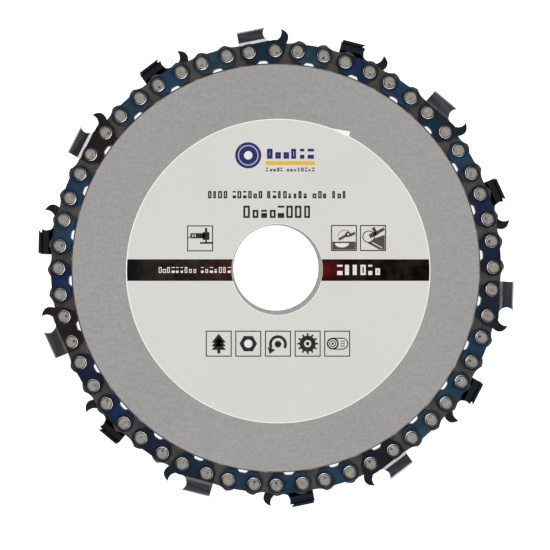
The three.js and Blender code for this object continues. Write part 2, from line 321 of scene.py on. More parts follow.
class Shader:
    """A material with one Principled shader and the few nodes that its pattern needs."""

    def __init__(self, name, **values):
        self.material = bpy.data.materials.new(name)
        self.material.use_nodes = True
        self.tree = self.material.node_tree
        self.surface = self.tree.nodes["Principled BSDF"]
        for socket, value in values.items():
            name = socket.replace("_", " ").title().replace("Ior", "IOR")
            self.surface.inputs[name].default_value = value
        own = self.tree.nodes.new("ShaderNodeAttribute")
        own.attribute_name = "own_place"
        self.place = own.outputs["Vector"]
        self.spot = self.tree.nodes.new("ShaderNodeTexCoord").outputs["Object"]

    def node(self, kind, inputs=(), **settings):
        made = self.tree.nodes.new(kind)
        for key, value in settings.items():
            setattr(made, key, value)
        for key, value in dict(inputs).items():
            if isinstance(value, bpy.types.NodeSocket):
                self.tree.links.new(value, made.inputs[key])
            else:
                made.inputs[key].default_value = value
        return made

    def scaled(self, x, y, z):
        return self.node("ShaderNodeMapping", {"Vector": self.place, "Scale": (x, y, z)}).outputs[0]

    def noise(self, scale, detail=4.0, roughness=0.55, vector=None, distortion=0.0):
        made = self.node("ShaderNodeTexNoise", {
            "Vector": vector or self.place, "Scale": scale, "Detail": detail,
            "Roughness": roughness, "Distortion": distortion,
        })
        return made.outputs["Fac"]

    def ramp(self, fac, stops):
        made = self.node("ShaderNodeValToRGB", {"Fac": fac})
        elements = made.color_ramp.elements
        while len(elements) < len(stops):
            elements.new(0.5)
        for element, (position, color) in zip(elements, stops):
            element.position = position
            element.color = (*color, 1) if len(color) == 3 else color
        return made.outputs["Color"]

    def distance(self, centre, squash=1.0):
        """Distance in mm, across the disc's face, from a point given in mm. squash stretches it along y."""
        x, y = centre
        moved = self.node("ShaderNodeMapping", {
            "Vector": self.spot,
            "Location": (-x, -y * squash, 0),
            "Scale": (1 / MM, squash / MM, 0),
        })
        return self.node("ShaderNodeVectorMath", {0: moved.outputs[0]}, operation="LENGTH").outputs["Value"]

    def pin_distance(self):
        """Distance in mm, across the disc's face, from the nearest rivet of an outer link."""
        split = self.node("ShaderNodeSeparateXYZ", {0: self.spot})
        turn = self.math("ARCTAN2", split.outputs["X"], split.outputs["Y"])
        link = self.math("MULTIPLY", self.math("SUBTRACT", turn, FIRST_LINK_TURN), LINKS / (2 * math.pi))
        place = self.math("SUBTRACT", self.math("FRACT", self.math("ADD", link, 0.5)), 0.5)
        along_chain = self.math("MULTIPLY", self.math("ABSOLUTE", place), 2 * math.pi * PIN_CIRCLE / LINKS)
        across = self.math("SUBTRACT", self.distance((0, 0)), PIN_CIRCLE)
        gap = self.math("SUBTRACT", along_chain, PIN_CIRCLE * OUTER_HALF_ANGLE)
        squares = self.math("ADD", self.math("MULTIPLY", gap, gap), self.math("MULTIPLY", across, across))
        return self.math("SQRT", squares)

    def range(self, value, low, high, to_low, to_high):
        made = self.node("ShaderNodeMapRange", {
            "Value": value, "From Min": low, "From Max": high, "To Min": to_low, "To Max": to_high,
        })
        return made.outputs["Result"]

    def mix(self, fac, first, second, blend="MIX"):
        made = self.tree.nodes.new("ShaderNodeMix")
        made.data_type = "RGBA"
        made.blend_type = blend
        for index, value in ((0, fac), (6, first), (7, second)):
            if isinstance(value, bpy.types.NodeSocket):
                self.tree.links.new(value, made.inputs[index])
            elif index == 0:
                made.inputs[index].default_value = value
            else:
                made.inputs[index].default_value = (*value, 1)
        return made.outputs[2]

    def math(self, operation, first, second=0.0):
        made = self.tree.nodes.new("ShaderNodeMath")
        made.operation = operation
        for index, value in ((0, first), (1, second)):
            if isinstance(value, bpy.types.NodeSocket):
                self.tree.links.new(value, made.inputs[index])
            else:
                made.inputs[index].default_value = value
        return made.outputs[0]

    def set(self, socket, value):
        self.tree.links.new(value, self.surface.inputs[socket])

    def bump(self, height, strength, distance_mm, after=None):
        inputs = {"Height": height, "Strength": strength, "Distance": distance_mm * MM}
        if after is not None:
            inputs["Normal"] = after
        made = self.node("ShaderNodeBump", inputs)
        self.set("Normal", made.outputs["Normal"])
        return made.outputs["Normal"]


def plate_steel():
    """Plain rolled sheet steel: fine grain along x, soft mottling and a few faint scratches."""
    s = Shader("plate_steel", metallic=1.0, roughness=0.42)
    grain = s.noise(1400, 3, 0.6, s.scaled(0.12, 1, 1))
    pit = s.noise(1100, 3, 0.6)
    mottle = s.noise(90, 5, 0.6)
    cloud = s.noise(22, 2, 0.5)
    base = s.ramp(cloud, [(0.3, (0.375, 0.363, 0.355)), (0.7, (0.455, 0.441, 0.432))])
    base = s.mix(0.55, base, s.ramp(mottle, [(0.35, (0.352, 0.341, 0.334)), (0.65, (0.452, 0.438, 0.429))]))
    base = s.mix(0.3, base, s.ramp(grain, [(0.3, (0.32, 0.31, 0.305)), (0.7, (0.45, 0.44, 0.43))]))
    base = s.mix(0.3, base, s.ramp(pit, [(0.38, (0.28, 0.27, 0.263)), (0.6, (0.42, 0.41, 0.402))]))
    s.set("Base Color", base)
    scratch = s.noise(420, 2, 0.4, s.scaled(1.0, 0.03, 1))
    s.set("Roughness", s.range(mottle, 0.3, 0.7, 0.38, 0.5))
    first = s.bump(grain, 0.25, 0.02)
    s.bump(s.range(scratch, 0.62, 0.72, 0, 1), 0.2, 0.01, first)
    return s.material


def blued_steel(name, dark, light):
    """Heat-blued strap steel. Its tint drifts along each strap, with painted shade round the rivets where their
    heads meet the strap.
    """
    s = Shader(name, metallic=1.0, roughness=0.32)
    drift = s.noise(260, 2, 0.5, None, 0.4)
    fine = s.noise(2600, 4, 0.6)
    tint = s.ramp(drift, [(0.34, dark), (0.64, light)])
    tint = s.mix(0.3, tint, s.ramp(fine, [(0.35, dark), (0.65, light)]))
    # painted shade: the colour goes dark within about 3 mm of each rivet's axis, where its head meets the strap
    rivet_shade_reach = s.math("ADD", s.pin_distance(), s.range(drift, 0.3, 0.7, -0.25, 0.25))
    s.set("Base Color", s.mix(s.range(rivet_shade_reach, 1.9, 2.9, 0.72, 0), tint, (0.010, 0.014, 0.022)))
    s.set("Roughness", s.range(fine, 0.3, 0.7, 0.26, 0.42))
    s.bump(fine, 0.2, 0.02)
    return s.material


def cutter_steel(name, dark, light, heat):
    """Black oxide over a rolled surface, with pale lines along the bends that are both wear and a painted
    highlight, and a tint between the rivets.
    """
    s = Shader(name, metallic=1.0, roughness=0.3)
    fine = s.noise(2200, 4, 0.6)
    lines = s.noise(900, 2, 0.5, s.scaled(0.08, 1, 1))
    black = s.ramp(fine, [(0.3, dark), (0.7, light)])
    black = s.mix(0.4, black, s.ramp(lines, [(0.3, dark), (0.7, tuple(1.5 * c for c in light))]))
    drift = s.noise(240, 2, 0.5)
    low = s.range(s.distance((0, 0)), STRAP_TOP - 1.2, STRAP_TOP + 0.8, 1, 0.15)
    patch = s.math("MULTIPLY", low, s.range(s.pin_distance(), 1.9, 3.0, 0, 1))
    patch = s.math("MULTIPLY", patch, s.range(drift, 0.35, 0.6, 0.25, 1))
    black = s.mix(patch, black, heat)
    side = s.math("ABSOLUTE", s.node("ShaderNodeSeparateXYZ", {0: s.spot}).outputs["Z"])
    bends = s.math("MULTIPLY", s.range(side, 1.84 * MM, 1.95 * MM, 0, 1), s.range(side, 2.46 * MM, 2.57 * MM, 1, 0))
    # pale bare steel along the bends: wear, and a painted highlight on the bends as well
    wear_and_highlight = s.math("MULTIPLY", bends, s.range(lines, 0.3, 0.6, 0.55, 1))
    bands = s.noise(520, 2, 0.5, s.scaled(0.04, 1, 0.3))
    face = s.math("MULTIPLY", s.range(side, 2.5 * MM, 2.57 * MM, 0, 1), s.range(bands, 0.38, 0.62, 0.12, 0.66))
    black = s.mix(face, black, (0.095, 0.088, 0.093))
    s.set("Base Color", s.mix(wear_and_highlight, black, (0.34, 0.34, 0.36)))
    s.set("Roughness", s.range(lines, 0.3, 0.7, 0.2, 0.36))
    s.bump(lines, 0.25, 0.02, s.bump(fine, 0.15, 0.02))
    return s.material


def ground_steel():
    """Bright steel left by a round file, with fine marks across the edge."""
    s = Shader("ground_steel", metallic=1.0, roughness=0.2)
    marks = s.noise(5200, 2, 0.5, s.scaled(0.1, 1, 0.1))
    s.set("Base Color", s.ramp(marks, [(0.3, (0.62, 0.62, 0.64)), (0.7, (0.86, 0.86, 0.88))]))
    s.set("Roughness", s.range(marks, 0.3, 0.7, 0.16, 0.32))
    s.bump(marks, 0.3, 0.01)
    return s.material


def drive_steel():
    """Brownish grey drive link steel with a thin film of oil and rust bloom."""
    s = Shader("drive_link_steel", metallic=1.0, roughness=0.42)
    bloom = s.noise(700, 4, 0.6)
    fine = s.noise(3200, 3, 0.6)
    stops = [(0.3, (0.030, 0.027, 0.026)), (0.58, (0.064, 0.057, 0.052)), (0.72, (0.23, 0.175, 0.12))]
    brown = s.ramp(bloom, stops)
    patch = s.noise(230, 3, 0.6)
    brown = s.mix(0.45, brown, s.ramp(patch, [(0.36, (0.013, 0.012, 0.012)), (0.66, (0.118, 0.104, 0.090))]))
    s.set("Base Color", s.mix(0.25, brown, s.ramp(fine, [(0.3, (0.05, 0.045, 0.045)), (0.7, (0.16, 0.15, 0.14))])))
    s.set("Roughness", s.range(bloom, 0.3, 0.7, 0.34, 0.52))
    s.bump(fine, 0.25, 0.02)
    return s.material


def rivet_steel():
    """Bare spun rivet steel, dark brown in the dent. Its flange has a painted highlight on the side towards the
    disc's centre and painted shade on its outer side; the low ring inside the flange has painted shade.
    """
    s = Shader("rivet_steel", metallic=1.0, roughness=0.34)
    fine = s.noise(1800, 4, 0.6)
    blotch = s.noise(900, 2, 0.5)
    bare = s.ramp(blotch, [(0.3, (0.22, 0.205, 0.18)), (0.7, (0.31, 0.295, 0.27))])
    bare = s.mix(0.3, bare, s.ramp(fine, [(0.3, (0.16, 0.148, 0.13)), (0.7, (0.38, 0.365, 0.34))]))
    # the dent is coloured dark brown, as much as the attribute dent says
    dent = s.node("ShaderNodeAttribute", attribute_name="dent").outputs["Fac"]
    bare = s.mix(s.range(dent, 0.1, 0.9, 0, 1), bare, (0.045, 0.033, 0.025))
    reach = s.pin_distance()
    rim = s.range(reach, 1.54, 1.59, 0, 1)
    # painted shade in the low ring between the crown's step and the flange
    groove_shade = s.math("SUBTRACT", s.range(reach, 1.36, 1.42, 0, 1), rim)
    # painted highlight on the flange's side towards the disc's centre, painted shade on its outer side
    inward_highlight = s.range(s.math("SUBTRACT", s.distance((0, 0)), PIN_CIRCLE), -1.0, 0.6, 1, 0.1)
    flange = s.mix(inward_highlight, (0.06, 0.057, 0.055), (0.72, 0.70, 0.67))
    s.set("Base Color", s.mix(groove_shade, s.mix(rim, bare, flange), (0.02, 0.018, 0.016)))
    spun = s.range(fine, 0.3, 0.7, 0.4, 0.55)
    s.set("Roughness", s.math("SUBTRACT", spun, s.math("MULTIPLY", rim, 0.28)))
    s.bump(fine, 0.25, 0.02)
    return s.material


def label_paper():
    """Off-white matte sticker paper with a fine fibre texture and a highlight painted along its cut edges, outside
    and round the hole.
    """
    s = Shader("label_paper", roughness=0.62)
    fibre = s.noise(1500, 5, 0.65)
    cloud = s.noise(40, 3, 0.5)
    base = s.ramp(cloud, [(0.3, (0.645, 0.637, 0.604)), (0.7, (0.685, 0.677, 0.643))])
    base = s.mix(0.25, base, s.ramp(fibre, [(0.35, (0.58, 0.57, 0.54)), (0.65, (0.71, 0.70, 0.67))]))
    # painted highlight: a pale line along the sticker's outer cut edge and round its hole
    rim = s.range(s.distance(LABEL_CENTRE), LABEL_RADIUS - 0.32, LABEL_RADIUS - 0.2, 0, 1)
    hole = s.range(s.distance(LABEL_HOLE_CENTRE), LABEL_HOLE_RADIUS + 0.3, LABEL_HOLE_RADIUS + 0.1, 0, 0.6)
    s.set("Base Color", s.mix(s.math("MAXIMUM", rim, hole), base, (0.9, 0.9, 0.89)))
    s.bump(fibre, 0.12, 0.02)
    return s.material


INK_GLOSS = 0.08


def ink(name, color, wear=0.16):
    """Printing ink in one colour, a little uneven."""
    s = Shader(name, roughness=0.5, specular_ior_level=INK_GLOSS)
    speck = s.noise(2400, 4, 0.65)
    thin = tuple(c + (0.5 - c) * wear for c in color)
    s.set("Base Color", s.ramp(speck, [(0.35, color), (0.72, thin)]))
    s.set("Roughness", s.range(speck, 0.3, 0.7, 0.42, 0.58))
    s.bump(speck, 0.1, 0.01)
    return s.material


def band_ink():
    """The dark band across the label: near black and blotchy, with a red glow that fades from the bore."""
    s = Shader("ink_band", roughness=0.4, specular_ior_level=0.03)
    cloud = s.noise(230, 4, 0.6)
    speck = s.noise(2400, 4, 0.65)
    split = s.node("ShaderNodeSeparateXYZ", {0: s.spot})
    side = s.range(split.outputs["X"], -0.5 * MM, 0.5 * MM, 0, 1)
    dark = s.mix(side, (0.011, 0.008, 0.008), (0.002, 0.001, 0.001))
    pale = s.mix(side, (0.026, 0.020, 0.021), (0.016, 0.009, 0.010))
    base = s.mix(s.range(cloud, 0.42, 0.62, 0, 1), dark, pale)
    rim = s.range(s.distance(LABEL_CENTRE), LABEL_RADIUS - 4.5, LABEL_RADIUS - 2, 0, 1)
    base = s.mix(s.math("MULTIPLY", rim, s.math("SUBTRACT", 1.0, side)), base, (0.004, 0.004, 0.004))
    height = s.math("ABSOLUTE", s.math("SUBTRACT", split.outputs["Y"], BAND_MIDDLE * MM))
    middle = s.range(height, 0.3 * MM, 2.8 * MM, 1, 0.15)
    reach = s.math("ADD", s.distance((0, BAND_MIDDLE)), s.range(cloud, 0.3, 0.7, -1.6, 1.6))
    left = s.math("MULTIPLY", s.range(reach, 12, 22, 0.27, 0), s.math("SUBTRACT", 1.0, side))
    right = s.math("MULTIPLY", s.math("POWER", s.range(reach, 12, 20, 0.85, 0), 1.3), side)
    glow = s.math("MULTIPLY", s.math("ADD", left, right), middle)
    base = s.mix(glow, base, (0.15, 0.002, 0.003))
    s.set("Base Color", s.mix(s.range(speck, 0.62, 0.8, 0, 0.25), base, (0.05, 0.035, 0.035)))
    s.set("Roughness", s.range(speck, 0.3, 0.7, 0.34, 0.5))
    s.bump(speck, 0.1, 0.01)
    return s.material


# ---- disc pieces -------------------------------------------------------------------------------

STEEL = plate_steel()


def plate_profile():
    low, high, edge = plate_low, plate_high, 0.06
    return [
        (BORE_RADIUS + edge, low), (PLATE_RADIUS - edge, low), (PLATE_RADIUS, low + edge),
        (PLATE_RADIUS, high - PLATE_CHAMFER), (PLATE_RADIUS - PLATE_CHAMFER, high),
        (BORE_RADIUS + edge, high), (BORE_RADIUS, high - edge), (BORE_RADIUS, low + edge),
    ]


def build_disc():
    front = weighted(mesh_of("front_plate_fine", turned(plate_profile(), 256), 30))
    front.materials.append(STEEL)
    piece("sheet_front", front, "disc", ["front_plate"])
    flipped = [(radius, -height) for radius, height in plate_profile()]
    back = weighted(mesh_of("back_plate_fine", turned(flipped, 256), 30))
    back.materials.append(STEEL)
    piece("sheet_back", back, "disc", ["back_plate"])
    ring = [(BORE_RADIUS, -plate_low), (SPACER_RADIUS, -plate_low), (SPACER_RADIUS, plate_low), (BORE_RADIUS, plate_low)]
    middle = mesh_of("spacer_fine", turned(ring, 256), 30)
    middle.materials.append(STEEL)
    piece("spacer", middle, "disc", ["spacer_disc"])


def label_outline():
    """The sticker's rim, with the sliver that the die cut left at the upper right."""
    start, end = 69.6, 62.2
    rim = arc(LABEL_CENTRE, LABEL_RADIUS, start, end + 360, 280)
    return rim + [(19.35, 35.5)]


def build_label():
    hole = circle(LABEL_HOLE_CENTRE, LABEL_HOLE_RADIUS, 160)
    paper = weighted(mesh_of("label_fine", solid([label_outline(), hole], plate_high, LABEL_TOP, 0.05, 2)))
    paper.materials.append(label_paper())
    piece("sticker", paper, "disc", ["label"])


# ---- what is printed on the label: plain marks in place of words, and simple drawings -----------

INK_DEPTH = 0.012
BAND_LOW, BAND_HIGH = -3.38, 2.24
BAND_MIDDLE = (BAND_LOW + BAND_HIGH) / 2
ICON_SIDE = 6.76


def rectangle(x0, y0, x1, y1):
    return [(x0, y0), (x1, y0), (x1, y1), (x0, y1)]


def bar(start, end, width):
    """A straight stroke."""
    a, b = Vector(start), Vector(end)
    side = (b - a).normalized().orthogonal() * width / 2
    return [tuple(a - side), tuple(b - side), tuple(b + side), tuple(a + side)]


def ring(centre, radius, width):
    return [circle(centre, radius, 40), circle(centre, radius - width, 40)]


def stroke(centre, radius, width, start, end):
    """A curved stroke round centre."""
    outside = arc(centre, radius + width / 2, start, end, 24)
    return outside + arc(centre, radius - width / 2, end, start, 24)


def frame_of(x0, y0, x1, y1, width):
    return [rectangle(x0, y0, x1, y1), rectangle(x0 + width, y0 + width, x1 - width, y1 - width)]


def marks(x0, y0, x1, y1, words, line):
    """A printed line with plain boxes where letters would be. words lists how many boxes each word has
    and line is the stroke's width."""
    cell = (x1 - x0) / (sum(words) + 0.7 * (len(words) - 1))
    shapes = []
    x = x0
    for count in words:
        for _ in range(count):
            left = x + cell * print_dice.choice((0.1, 0.18))
            right = x + cell * print_dice.choice((0.7, 0.86))
            top = y0 + (y1 - y0) * print_dice.choice((0.66, 1, 1))
            if print_dice.random() < 0.35:
                shapes.append([rectangle(left, y0, right, y0 + (y1 - y0) * 0.4)])
                shapes.append([rectangle(left, top - line, right, top)])
            else:
                shapes.append(frame_of(left, y0, right, top, line))
            x += cell
        x += 0.7 * cell
    return shapes


def printed(name, shapes, material, layer=0):
    """One ink piece made of many thin flat shapes, on the label or on the ink below it."""
    low = LABEL_TOP + layer * INK_DEPTH
    bm = bmesh.new()
    for loops in shapes:
        solid(loops, low, low + INK_DEPTH, into=bm)
    made = mesh_of(name, bm, 30)
    made.materials.append(material)
    return piece(name, made, "disc")


def in_box(corner, shapes):
    """Shapes drawn in a unit square, put into the icon whose lower left corner is given."""
    x0, y0 = corner
    return [[[(x0 + x * ICON_SIDE, y0 + y * ICON_SIDE) for x, y in loop] for loop in shape] for shape in shapes]


def grinder_drawing():
    """An angle grinder from the side, with its disc edge on below the head."""
    dark = [[rounded(rectangle(0.12, 0.5, 0.68, 0.7), 0.05)], [rectangle(0.6, 0.44, 0.86, 0.74)]]
    dark += [[rectangle(0.7, 0.36, 0.76, 0.44)], [rectangle(0.5, 0.29, 0.96, 0.36)]]
    dark += [[bar((0.73, 0.74), (0.73, 0.9), 0.09)], [bar((0.05, 0.5), (0.12, 0.58), 0.03)]]
    slots = [[bar((x, 0.55), (x, 0.65), 0.025)] for x in (0.2, 0.26, 0.32)]
    return dark, slots


def bowl_drawing():
    """A bowl on a dark bench with a tool above it."""
    dark = [[rectangle(0.05, 0.05, 0.95, 0.36)], [bar((0.3, 0.44), (0.62, 0.62), 0.1)]]
    dark += [ring((0.66, 0.64), 0.11, 0.07), [bar((0.75, 0.6), (0.93, 0.7), 0.1)]]
    dark.append([stroke((0.55, 0.5), 0.3, 0.02, 60, 170)])
    bowl = arc((0.42, 0.3), 0.27, 180, 360, 24)
    pale = [[[(x, 0.3 + (y - 0.3) * 0.6) for x, y in bowl]]]
    return dark, pale


def plank_drawing():
    """A board's corner with a disc that cuts into its edge."""
    dark = [[[(0.3, 0.3), (0.75, 0.05), (0.95, 0.05), (0.95, 0.62), (0.6, 0.5)]]]
    dark += [ring((0.33, 0.55), 0.24, 0.04), [bar((0.36, 0.56), (0.62, 0.68), 0.16)]]
    dark += [[bar((0.5, 0.9), (0.66, 0.62), 0.13)], [bar((0.66, 0.7), (0.93, 0.86), 0.12)]]
    pale = [[bar((0.45, 0.34), (0.85, 0.12), 0.03)]]
    return dark, pale


def tree_drawing():
    dark = [[[(0.22, y), (0.78, y), (0.5, y + 0.34)]] for y in (0.26, 0.4, 0.54)]
    return dark + [[rectangle(0.44, 0.12, 0.56, 0.26)]], []


def nut_drawing():
    """A hexagon nut."""
    return [[circle((0.5, 0.5), 0.34, 6)]], [[circle((0.5, 0.5), 0.16, 32)]]


def turning_drawing():
    """An arrow that turns round a hub."""
    dark = [[stroke((0.5, 0.48), 0.29, 0.11, -30, 210)], [circle((0.5, 0.48), 0.13, 32)]]
    return dark + [[[(0.1, 0.38), (0.4, 0.26), (0.18, 0.1)]]], []


def disc_drawing():
    """A disc with teeth round its rim."""
    dark = [ring((0.5, 0.5), 0.31, 0.17), [circle((0.5, 0.5), 0.07, 24)]]
    for k in range(12):
        turn = 2 * math.pi * k / 12
        inner, outer = ((0.5 + r * math.cos(turn), 0.5 + r * math.sin(turn)) for r in (0.31, 0.4))
        dark.append([bar(inner, outer, 0.07)])
    return dark, []


def log_drawing():
    """A sawn log with its rings."""
    dark = [ring((0.33, 0.5), 0.23, 0.06), ring((0.33, 0.5), 0.13, 0.035), [circle((0.33, 0.5), 0.045, 20)]]
    dark += [[bar((0.33, y), (0.71, y), 0.04)] for y in (0.29, 0.71)]
    dark.append([stroke((0.7, 0.5), 0.21, 0.04, -90, 90)])
    dark += [[bar((0.63, y), (0.8, y), 0.03)] for y in (0.41, 0.5, 0.59)]
    return dark, []


def build_print():
    black = ink("ink_black", (0.008, 0.007, 0.008), 0.08)
    brown = ink("ink_brown", (0.055, 0.04, 0.042))
    grey = ink("ink_grey", (0.10, 0.10, 0.10))
    white = ink("ink_white", (0.80, 0.78, 0.765))
    navy = ink("ink_navy", (0.010, 0.016, 0.13), 0.06)
    amber = ink("ink_amber", (0.80, 0.45, 0.015))
    pewter = ink("ink_pewter", (0.42, 0.44, 0.46))

    # the band, in two pieces beside the bore
    for name, side in (("band_left", -1), ("band_right", 1)):
        loop = []
        for centre, radius, heights in (
            (LABEL_CENTRE, LABEL_RADIUS - 0.3, (BAND_LOW, BAND_HIGH)),
            (LABEL_HOLE_CENTRE, LABEL_HOLE_RADIUS + 0.08, (BAND_HIGH, BAND_LOW)),
        ):
            for i in range(13):
                y = heights[0] + (heights[1] - heights[0]) * i / 12
                loop.append((centre[0] + side * math.sqrt(radius ** 2 - (y - centre[1]) ** 2), y))
        printed(name, [[loop]], band_ink() if side < 0 else bpy.data.materials["ink_band"])
    printed("slogan_marks", marks(-30.7, -1.3, -11.6, 0.2, (9, 7), 0.2), white, 1)
    printed("number_marks", marks(15.6, -1.85, 27.7, 0.8, (6,), 0.5), white, 1)

    # the top of the label: a plain roundel, a bar and three lines of marks
    printed("roundel", [[circle((-7.2, 29.3), 3.4, 64)]], navy)
    printed("roundel_hub", [[circle((-7.2, 29.3), 1.1, 40)]], white, 1)
    printed("roundel_ring", [ring((-7.2, 29.3), 2.7, 0.3)], pewter, 1)
    printed("name_marks", marks(-2.7, 28.4, 10.2, 31.0, (6,), 0.7), navy)
    printed("name_bar", [[rectangle(-2.7, 26.8, 10.2, 27.8)]], amber)
    printed("address_marks", marks(-2.7, 25.1, 10.2, 26.1, (5, 8), 0.3), grey)
    printed("title_marks", marks(-17.9, 18.1, 18.5, 20.0, (4, 6, 8, 3, 3), 0.38), black)
    printed("size_marks", marks(-8.7, 13.0, 9.2, 16.2, (8,), 0.52), black)

    icons = (
        (grinder_drawing, (-23.1, 4.3), black), (bowl_drawing, (14.34, 4.4), brown),
        (plank_drawing, (21.9, 4.4), brown), (tree_drawing, (-18.25, -23.1), black),
        (nut_drawing, (-10.57, -23.1), black), (turning_drawing, (-2.84, -23.1), black),
        (disc_drawing, (4.89, -23.1), black), (log_drawing, (12.57, -23.1), black),
    )
    for drawing, corner, material in icons:
        name = drawing.__name__.replace("_drawing", "_icon")
        dark, pale = drawing()
        printed(name, in_box(corner, dark), material)
        if pale:
            printed(name + "_pale", in_box(corner, pale), white, 1)
        printed(name + "_frame", in_box(corner, [frame_of(0, 0, 1, 1, 0.04)]), black)


# ---- chain pieces ------------------------------------------------------------------------------


def strap_mesh():
    holes = [circle(pin, SHANK_RADIUS + 0.03, 24) for pin in pins(OUTER_HALF_ANGLE)]
    return mesh_of("strap", solid([strap_outline()] + holes, STRAP_INNER, STRAP_OUTER, 0.13))


def mirrored(mesh, name):
    """The same mesh on the other side of the middle plane."""
    bm = bmesh.new()
    bm.from_mesh(mesh)
    bmesh.ops.transform(bm, matrix=Matrix.Scale(-1, 4, (0, 0, 1)), verts=bm.verts)
    bmesh.ops.reverse_faces(bm, faces=bm.faces)
    made = bpy.data.meshes.new(name)
    bm.to_mesh(made)
    bm.free()
    made.shade_smooth()
    made.set_sharp_from_angle(angle=math.radians(35))
    return made


def fillet(corners, radii, steps):
    """An open path of (z, y) points with its inner corners rounded, each to steps + 1 points."""
    path = [corners[0]]
    for before, corner, after, radius in zip(corners, corners[1:], corners[2:], radii):
        here = Vector(corner)
        back, on = (Vector(before) - here).normalized(), (Vector(after) - here).normalized()
        reach = radius / math.tan(back.angle(on) / 2)
        start, end = here + back * reach, here + on * reach
        path += [tuple(start)] + quadratic(start, here, end, steps)
    return path + [corners[-1]]


BEND_STEPS = 6
HEAD_LEAD = 1.5  # the blank's head reaches this far along x, before it is filed
FOLD_FROM, FOLD_TO = 1.5, 2.6  # the fold dies out between these places along x
OUTER_PATH = fillet(
    [(STRAP_OUTER, 50), (STRAP_OUTER, 58.8), (HEAD_OUTER, 59.7), (HEAD_OUTER, TOP_PLATE_Y), (TOP_PLATE_EDGE, TOP_PLATE_Y)],
    (0.3, 0.4, 1.0), BEND_STEPS)
INNER_PATH = fillet(
    [(STRAP_INNER, 50), (STRAP_INNER, 59.0), (1.74, 60.14), (1.74, TOP_PLATE_Y - 0.76), (TOP_PLATE_EDGE, TOP_PLATE_Y - 0.76)],
    (0.8, 0.4, 0.28), BEND_STEPS)
SHEET = [50.0]
for (z0, y0), (z1, y1) in zip(OUTER_PATH, OUTER_PATH[1:]):
    SHEET.append(SHEET[-1] + math.hypot(z1 - z0, y1 - y0))


def along(value, keys, results):
    """Piecewise straight interpolation of results at value on rising keys."""
    for k in range(1, len(keys)):
        if value <= keys[k] or k == len(keys) - 1:
            share = (value - keys[k - 1]) / (keys[k] - keys[k - 1])
            return results[k - 1] + (results[k] - results[k - 1]) * share


def sheet_of_side(x, y):
    """Distance along the flat blank of a point on the cutter's side, given as it looks from the side."""
    side = [i for i, (z, height) in enumerate(OUTER_PATH) if i < len(OUTER_PATH) - BEND_STEPS - 1]
    return (x, along(y - HEAD_SLOPE * x, [OUTER_PATH[i][1] for i in side], [SHEET[i] for i in side]))


def blank_outline():
    """A cutter before its head is bent and filed, flat, in x and distance along the sheet."""
    cx, cy = GULLET_CENTRE
    tip_angle = math.degrees(math.atan2(GAUGE_TIP[1] - cy, GAUGE_TIP[0] - cx))
    floor_angle = math.degrees(math.asin((GULLET_FLOOR - cy) / GULLET_RADIUS))
    front = [(STRAP_HALF - 0.05, 55.6), (6.45, 58.3)]
    front += bezier(front[-1], (7.1, 59.2), (7.25, 60.1), (6.75, 60.9), 8)
    front += quadratic(front[-1], (6.2, 61.65), GAUGE_TIP, 6)
    front += arc(GULLET_CENTRE, GULLET_RADIUS, tip_angle, floor_angle, 12)[1:]
    front += [(HEAD_LEAD, GULLET_FLOOR)]
    flat = [(x, y - HEAD_SLOPE * x) for x, y in feet() + front]
    last = SHEET[-1]
    rear_top = -62.0 * REAR_SLANT
    head = [(HEAD_LEAD, last), (rear_top + 0.3, last), sheet_of_side(rear_top, TOP_PLATE_Y - 1.0)]
    head += [sheet_of_side(-58.0 * REAR_SLANT, 58.0), (-STRAP_HALF + 0.1, 55.5 + HEAD_SLOPE * (STRAP_HALF - 0.1))]
    return flat + head


def bend(bm):
    """Folds the flat blank, lying at heights 0 to 1, on to the outer and inner paths."""
    for s in SHEET[1:-1]:
        geometry = bm.verts[:] + bm.edges[:] + bm.faces[:]
        bmesh.ops.bisect_plane(bm, geom=geometry, dist=1e-9, plane_co=(0, s * MM, 0), plane_no=(0, 1, 0))
    for v in bm.verts:
        x, s, depth = v.co.x / MM, v.co.y / MM, v.co.z / MM
        outer = [along(s, SHEET, [p[k] for p in OUTER_PATH]) for k in (0, 1)]
        inner = [along(s, SHEET, [p[k] for p in INNER_PATH]) for k in (0, 1)]
        z, y = (inner[k] + (outer[k] - inner[k]) * depth for k in (0, 1))
        flat = min(1, max(0, (x - FOLD_FROM) / (FOLD_TO - FOLD_FROM)))
        z += (STRAP_INNER + (STRAP_OUTER - STRAP_INNER) * depth - z) * flat
        y += (s - y) * flat
        v.co = Vector((x, y + HEAD_SLOPE * x, z)) * MM


FILE_RADIUS, FILE_CENTRE, FILE_LEAN = 1.95, (2.6, 61.12), math.tan(math.radians(25))


def file_gap(point):
    """How far a point, in metres, lies from the surface that the round file leaves, in mm."""
    x, y, z = (c / MM for c in point)
    across = (x - FILE_CENTRE[0] - (z - HEAD_OUTER) * FILE_LEAN) * math.cos(math.atan(FILE_LEAN))
    return abs(math.hypot(across, y - FILE_CENTRE[1]) - FILE_RADIUS)


def file_cutter():
    """The round file, leaning back across the top plate, as a closed solid."""
    bm = solid([circle((0, 0), FILE_RADIUS, 96)], -6, 6)
    lean = Matrix.Rotation(math.atan(FILE_LEAN), 4, "Y")
    bmesh.ops.transform(bm, matrix=lean, verts=bm.verts)
    centre = (FILE_CENTRE[0] * MM, FILE_CENTRE[1] * MM, HEAD_OUTER * MM)
    bmesh.ops.translate(bm, vec=centre, verts=bm.verts)
    return mesh_of("file", bm)


